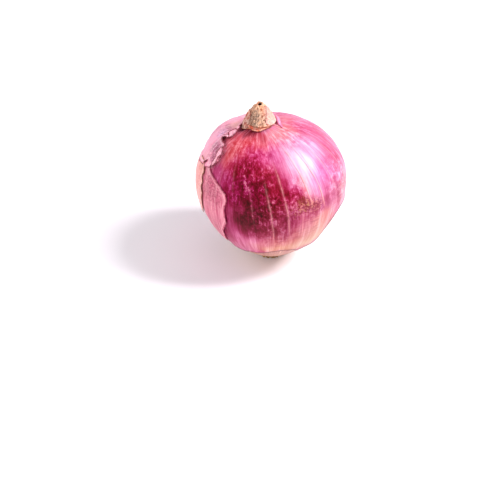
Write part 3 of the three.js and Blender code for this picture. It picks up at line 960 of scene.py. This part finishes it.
def on_neck(turn, up, lift):
    """Points in mm on the neck: up is 0 at the foot and 1 at the tip, and below 0 it
    lies on the bulb."""
    turn, up, lift = np.broadcast_arrays(turn, up, lift)
    crown = on_bulb(0.0, 0.0, 0.0)
    height = NECK_TOP_Z - NECK_TIP_GAP - crown[2]
    stops = np.array(COLLAR, float)
    polar = np.interp((turn + 180) % 360 - 180, stops[:, 0], stops[:, 1])
    foot = on_bulb(turn, polar + 25 * np.clip(-up, 0, 1), 1.0)
    rise = np.clip(up, 0, 1)
    foot[..., 2] += height * rise
    angle = np.radians(turn)
    radius = np.interp(rise, *np.array(NECK_PROFILE).T)
    front_low = 0.9 * smoothstep(rise, 0.8, 1) * (1 + np.cos(angle)) / 2
    cone = np.stack(
        [
            crown[0] + NECK_AXIS_SHIFT * smoothstep(rise, 0, 1) + radius * np.sin(angle),
            crown[1] - radius * np.cos(angle),
            crown[2] + height * rise - front_low,
        ],
        axis=-1,
    )
    hold = smoothstep(rise, 0, 0.25)[..., None]
    base = foot * (1 - hold) + cone * hold
    out = np.stack([np.sin(angle), -np.cos(angle), np.full(angle.shape, 0.5)], axis=-1)
    out /= np.linalg.norm(out, axis=-1, keepdims=True)
    folds = 0.35 * np.cos(5 * angle + 2.5 * up + 0.4) + 0.25 * np.cos(8 * angle - 3 * up + 1.9)
    folds = folds * smoothstep(rise, 0, 0.5) * smoothstep(rise, 1.02, 0.85)
    return base + (folds + lift)[..., None] * out


def wrinkles(points):
    """The dried leaves' wrinkles, in mm: long folds, crumples and fine creases."""
    long_folds = np.abs(grain(points * (1, 1, 0.35), 1.5, 3))
    crumple = np.abs(grain(points + 40, 1.1, 4))
    fine = grain(points + 90, 0.45, 2)
    return 0.52 - 1.1 * long_folds - 0.75 * crumple + 0.1 * fine


def neck_material():
    shader = Shader("dried_neck", 0.75, specular=0.25)
    place = shader.attribute("spot", "Vector")
    relief = shader.attribute("relief")
    tint = shader.attribute("tint", "Color")
    wrinkled = shader.attribute("wrinkled")
    cloud = shader.noise(place, (0.5, 0.5, 0.5), 4, 0.6)
    fibre = shader.noise(place, (1.8, 1.8, 0.4), 4, 0.65, 0.6)
    colour = shader.mix(shader.step(cloud, 0.42, 0.66, 0, 0.45), tint, "#e48860")
    # Painted highlight on the raised wrinkles.
    colour = shader.mix(shader.step(relief, 0.22, 0.5, 0, 0.4), colour, "#ffe8d4")
    colour = shader.mix(shader.step(fibre, 0.5, 0.66, 0, 0.35), colour, "#ffe2cc")
    # Painted shade in the low wrinkles.
    colour = shader.mix(shader.step(relief, 0.08, -0.35, 0, 0.7), colour, "#a84428")
    # Cracks of painted shade with lips of painted highlight, which wind where the leaves dried
    # crumpled.
    wide = shader.noise(place, (0.75, 0.75, 0.5), 4, 0.6, 1.6)
    small = shader.noise(place, (1.5, 1.5, 1.1), 3, 0.6, 1.2)
    height = shader.times(fibre, 0.5)
    for cracks, width in ((wide, 0.032), (small, 0.036)):
        off = shader.away(cracks, 0.5)
        lit_crack_lip = shader.times(wrinkled, shader.step(off, 3.2 * width, 1.4 * width, 0, 0.4))
        colour = shader.mix(lit_crack_lip, colour, "#ffe2cc")
        shaded_crack = shader.times(wrinkled, shader.step(off, width, 0.2 * width, 0, 0.8))
        colour = shader.mix(shaded_crack, colour, "#7c2c18")
        height = shader.total(height, shader.times(shaded_crack, -0.9))
    rim = shader.step(shader.attribute("edge"), 0.3, 0.08, 0, 0.7)
    colour = shader.mix(rim, colour, "#8c3c24")
    # Painted shade: the pit down the neck's tip is painted nearly black.
    colour = shader.mix(shader.attribute("pit"), colour, "#0c0604")
    shader.bump(height, 0.8, 0.0006)
    return shader.finish(colour)


def ring_body(rings):
    """A closed body from rings of points, capped at both ends. Gives points and faces."""
    count = len(rings[0])
    points = np.concatenate(rings + [rings[0].mean(0)[None], rings[-1].mean(0)[None]])
    faces = []
    for row in range(len(rings) - 1):
        for i in range(count):
            a, b = row * count + i, row * count + (i + 1) % count
            faces.append((a, b, b + count, a + count))
    last = (len(rings) - 1) * count
    for i in range(count):
        after = (i + 1) % count
        faces.append((after, i, len(points) - 2))
        faces.append((last + i, last + after, len(points) - 1))
    return points, faces


def neck_rings(turn):
    """The rings of the neck, and how far up each counts as, in percent: hidden inside
    its foot, up its outside with a ragged, flaring foot, and down into the pit."""
    columns = len(turn)
    ragged_foot = 0.035 * wander(columns, 0.35, 4) * np.cos(np.radians(turn) / 2) ** 0.5
    rings = []
    percents = []
    for up in (0.30, 0.12, 0.02):
        rings.append(on_neck(turn, up + ragged_foot, -1.5 + 0.6 * (0.3 - up)))
        percents.append(0.0)
    for up in np.linspace(0, 1, 74):
        flare = 0.4 * np.exp(-((up / 0.07) ** 2)) * (0.7 + 0.5 * wander(columns, 0.2, 9))
        rings.append(on_neck(turn, up + ragged_foot * (1 - up) ** 3, flare))
        percents.append(100 * up)
    tip = rings[-1]
    middle = tip.mean(0)
    for share, rise, percent in NECK_PIT:
        rings.append(middle + (tip - middle) * share + (0, 0, rise))
        percents.append(percent)
    return rings, percents


def dried_neck():
    """The neck's points, faces and layers, with its wrinkles pushed into its outside."""
    columns = 200
    turn = np.linspace(-180, 180, columns, endpoint=False)
    rings, percents = neck_rings(turn)
    points, faces = ring_body(rings)
    turns = np.concatenate([np.tile(turn, len(rings)), [0, 0]])
    ups = np.concatenate([np.repeat(percents, columns), [0, NECK_PIT[-1][2]]])
    relief = wrinkles(points)
    outer = smoothstep(np.arange(len(points)), 2.5 * columns, 3.5 * columns)
    outer *= smoothstep(ups, 128, 104)
    side = (points - rings[-1].mean(0)) * (1, 1, 0)
    side /= np.maximum(np.linalg.norm(side, axis=1, keepdims=True), 1e-6)
    side[:, 2] = 0.5
    points = points + side * (0.8 * (relief * outer * smoothstep(ups, -1, 12)))[:, None]
    places = np.stack([turns, ups], axis=1)
    layers = [
        ("spot", points),
        ("relief", relief),
        ("tint", dabbed(places, "#ffc69c", NECK_DABS)),
        ("wrinkled", masked(places, NECK_WRINKLED)),
        ("edge", np.full(len(points), 5.0)),
        ("pit", smoothstep(ups, 101, 125)),
    ]
    return points, faces, layers


def neck_scale(corners, lift, seed):
    """A torn leaf scale lying on the neck. Corners are (turn, percent up, raggedness)."""

    def surface(turn, up, height):
        return on_neck(turn, up / 100, height)

    def lift_at(places, distance):
        points = surface(places[:, 0], places[:, 1], 0.0)
        return lift + 0.22 * wrinkles(points + seed) + curl(places, distance, 0.3, 0.7, seed)

    return sheet("scale", torn(corners, 1.0), (2.6, 2.2), surface, lift_at, 0.22, 0.1)


# Each is its corners, its lift above the neck, its colour and a seed.
NECK_SCALES = [
    # The smooth scale that hangs low towards -X.
    ([(-140, 4, 1), (-100, -3, 1), (-66, -8, 0.5), (-50, 4, 0.5), (-44, 26, 1), (-56, 50, 2),
      (-84, 66, 2), (-118, 60, 2), (-142, 34, 2)], 0.15, "#a45850", 3.0),
    # The pale scale towards +X.
    ([(24, 30, 1), (36, 8, 1), (62, -2, 0.8), (92, -2, 1), (126, 4, 1), (134, 40, 2), (118, 74, 2),
      (84, 88, 1), (52, 80, 1), (36, 60, 1)], 0.1, "#f8aca4", 7.0),
    # The orange lip at the front.
    ([(-50, 20, 0.5), (-44, 4, 0.6), (-28, -7, 0.8), (-8, -10, 0.8), (16, -5, 0.8), (50, -2, 0.5),
      (48, 1, 1), (14, 4, 1.5), (-10, 10, 1.5), (-30, 18, 1)], 0.5, "#ec5028", 11.0),
    # A patch at the back.
    ([(150, -4, 1), (176, -6, 1), (204, 0, 1), (206, 40, 2), (186, 66, 2), (158, 54, 2)],
     0.15, "#c48c58", 15.0),
]


def neck():
    """The dried neck, with leaf scales that lie torn around it."""
    points, faces, layers = dried_neck()
    material = neck_material()
    piece = make_mesh("neck", points, faces, layers)
    place_piece(piece, material, "neck")
    for number, (corners, lift, code, seed) in enumerate(NECK_SCALES, 1):
        made = neck_scale(corners, lift, seed)
        count = len(made["points"])
        layers = [
            ("spot", made["points"]),
            ("relief", wrinkles(made["points"] + seed) + 0.25),
            ("tint", np.tile(paint(code), (count, 1))),
            ("wrinkled", masked(made["places"], SCALES_WRINKLED)),
            ("edge", made["distance"]),
            ("pit", np.zeros(count)),
        ]
        scale = make_mesh(f"neck_scale_{number}", made["points"], made["faces"], layers)
        place_piece(scale, material, "neck")


# ---- The root plate and its roots ----

ROOT_COUNT = 70
ROOT_SEED = 5
# How clear of the floor the roots stay, in mm.
FLOOR_GAP = 0.02
# The plate's rings: a share of its radius and a height in mm.
ROOT_PLATE_RINGS = [
    (0.3, 0), (0.7, 0), (0.93, 0.05), (1, 0.4), (0.98, 0.9), (0.95, 1.4), (0.9, 1.7), (0.5, 1.75),
]
ROOT_TAPER = np.array([1.1, 1.0, 1.0, 0.95, 0.85, 0.8, 0.55])


def root_material():
    shader = Shader("dried_roots", 0.85, specular=0.2)
    place = shader.attribute("spot", "Vector")
    cloud = shader.noise(place, (0.6, 0.6, 0.6), 4, 0.6)
    fibre = shader.noise(place, (3, 3, 3), 3, 0.6)
    colour = shader.mix(shader.step(cloud, 0.35, 0.68), "#8c6238", "#d8b074")
    colour = shader.mix(shader.step(fibre, 0.5, 0.7, 0, 0.6), colour, "#5c3c20")
    shader.bump(shader.total(cloud, fibre), 0.8, 0.0005)
    return shader.finish(colour)


def tube(route, radii, sides=8):
    """Rings of points along a route, each at right angles to it."""
    rings = []
    route = np.asarray(route, float)
    for i, (point, radius) in enumerate(zip(route, radii)):
        ahead = route[min(i + 1, len(route) - 1)] - route[max(i - 1, 0)]
        ahead /= np.linalg.norm(ahead)
        across = np.cross(ahead, (0.1, 0.2, 1.0))
        across /= np.linalg.norm(across)
        over = np.cross(across, ahead)
        turn = np.linspace(0, 2 * np.pi, sides, endpoint=False)[:, None]
        rings.append(point + radius * (across * np.cos(turn) + over * np.sin(turn)))
    return rings


def plate_body():
    """The lumpy disc that the roots grow from, with a nearly flat underside."""
    columns = 96
    turn = np.linspace(0, 2 * np.pi, columns, endpoint=False)
    rim = np.stack([np.sin(turn), -np.cos(turn), np.zeros(columns)], axis=1)
    rings = []
    for share, height in ROOT_PLATE_RINGS:
        ring = rim * ROOT_PLATE_RADIUS * share
        lumps = grain(ring + (0, 0, height), 1.6, 3)
        ring = ring * (1 + 0.045 * lumps[:, None] * (0.3 < share))
        ring[:, 2] = height + (0.12 * np.abs(lumps) if height == 0 else 0)
        rings.append(ring)
    return ring_body(rings)


def root_body(rng, number):
    """A trimmed root, which leaves the plate's rim and bends down to the floor."""
    angle = 2 * np.pi * (number + 0.7 * rng.random()) / ROOT_COUNT
    start = ROOT_PLATE_RADIUS * rng.uniform(0.82, 0.99)
    reach = rng.uniform(0.7, 1.9)
    height = rng.uniform(0.5, 1.1)
    sway = rng.normal(0, 0.16, 2)
    radius = rng.uniform(0.2, 0.36)
    route = []
    for share in np.linspace(0, 1, len(ROOT_TAPER)):
        bearing = angle + sway[0] * share + sway[1] * share**2
        out = start - 0.8 + (reach + 0.8) * share
        high = (1 - share) ** 1.2
        up = height * high + (radius + FLOOR_GAP) * (1 - high)
        route.append((out * np.sin(bearing), -out * np.cos(bearing), up))
    return ring_body(tube(route, radius * ROOT_TAPER))


def root_plate():
    """The root plate and its roots, which grew as one."""
    points, faces = plate_body()
    rng = np.random.default_rng(ROOT_SEED)
    for number in range(ROOT_COUNT):
        extra, more = root_body(rng, number)
        faces += [tuple(i + len(points) for i in face) for face in more]
        points = np.concatenate([points, extra])
    points[:, 2] = np.maximum(points[:, 2], 0.0)
    piece = make_mesh("root_plate", points, faces, [("spot", points)])
    place_piece(piece, root_material(), "root_plate")


# ---- Floor, light and camera ----

CAMERA_DISTANCE = 712.0
CAMERA_ELEVATION = np.radians(32.1)
LENS = 106.4
# Where the middle of the bulb's widest level stands in the picture, as a share of
# the distance, right of and above the middle.
AIM_RIGHT = 0.0218
AIM_UP = 0.0444

FLOOR_REACH = 3
FLOOR_COLOUR = (0.93, 0.915, 0.94, 1)

WORLD_COLOUR = (0.97, 0.96, 1.0, 1)
WORLD_STRENGTH = 0.6
LIGHT_TARGET = Vector((0, 0, 0.045))
# The area lights: name, place and size in metres, power in watts, colour, and whether
# each gleams in glossy surfaces and whether it lights surfaces up.
LIGHTS = [
    ("key", (0.88, -0.06, 0.95), (0.3, 0.5), 20, (1.0, 0.97, 1.0), True, True),
    ("gleam", (0.88, -0.06, 0.95), (0.34, 0.56), 34, (1.0, 0.98, 1.0), True, False),
    ("fill", (-0.8, -0.95, 0.42), (1.0, 0.8), 6, (1.0, 0.99, 1.0), False, True),
    ("left", (-1.05, 0.25, 0.75), (0.8, 0.8), 4, (1.0, 0.98, 0.99), False, True),
]


def add_camera():
    middle = Vector((0, 0, WIDEST_Z)) * MM
    away = Vector((0, -np.cos(CAMERA_ELEVATION), np.sin(CAMERA_ELEVATION)))
    right = Vector((1, 0, 0))
    up = away.cross(right)
    distance = CAMERA_DISTANCE * MM
    camera = bpy.data.objects.new("camera", bpy.data.cameras.new("camera"))
    camera.data.lens = LENS
    camera.data.sensor_width = 36
    camera.data.clip_end = 20
    camera.location = middle + away * distance
    target = middle - right * AIM_RIGHT * distance - up * AIM_UP * distance
    camera.rotation_euler = (target - camera.location).to_track_quat("-Z", "Y").to_euler()
    bpy.context.scene.collection.objects.link(camera)
    bpy.context.scene.camera = camera


def add_floor():
    far = FLOOR_REACH
    corners = [(-far, -far, 0), (far, -far, 0), (far, far, 0), (-far, far, 0)]
    mesh = bpy.data.meshes.new("floor")
    mesh.from_pydata(corners, [], [(0, 1, 2, 3)])
    floor = bpy.data.objects.new("floor", mesh)
    shader = Shader("floor", 0.6, specular=0.2)
    floor.data.materials.append(shader.finish(FLOOR_COLOUR))
    bpy.context.scene.collection.objects.link(floor)


def add_light(name, place, size, power, colour, gleams, lights_up):
    light = bpy.data.lights.new(name, "AREA")
    light.shape = "RECTANGLE"
    light.size, light.size_y = size
    light.energy = power
    light.color = colour
    lamp = bpy.data.objects.new(name, light)
    lamp.location = place
    lamp.rotation_euler = (LIGHT_TARGET - Vector(place)).to_track_quat("-Z", "Y").to_euler()
    lamp.visible_glossy = gleams
    lamp.visible_diffuse = lights_up
    bpy.context.scene.collection.objects.link(lamp)


def add_world():
    world = bpy.data.worlds.new("studio")
    world.use_nodes = True
    background = world.node_tree.nodes["Background"]
    background.inputs["Color"].default_value = WORLD_COLOUR
    background.inputs["Strength"].default_value = WORLD_STRENGTH
    bpy.context.scene.world = world
    bpy.context.scene.view_settings.view_transform = "Standard"


add_camera()
add_floor()
add_world()
for light in LIGHTS:
    add_light(*light)
bulb_body()
main_skin()
upper_paper()
lower_paper()
tan_flake()
tatter()
neck()
root_plate()
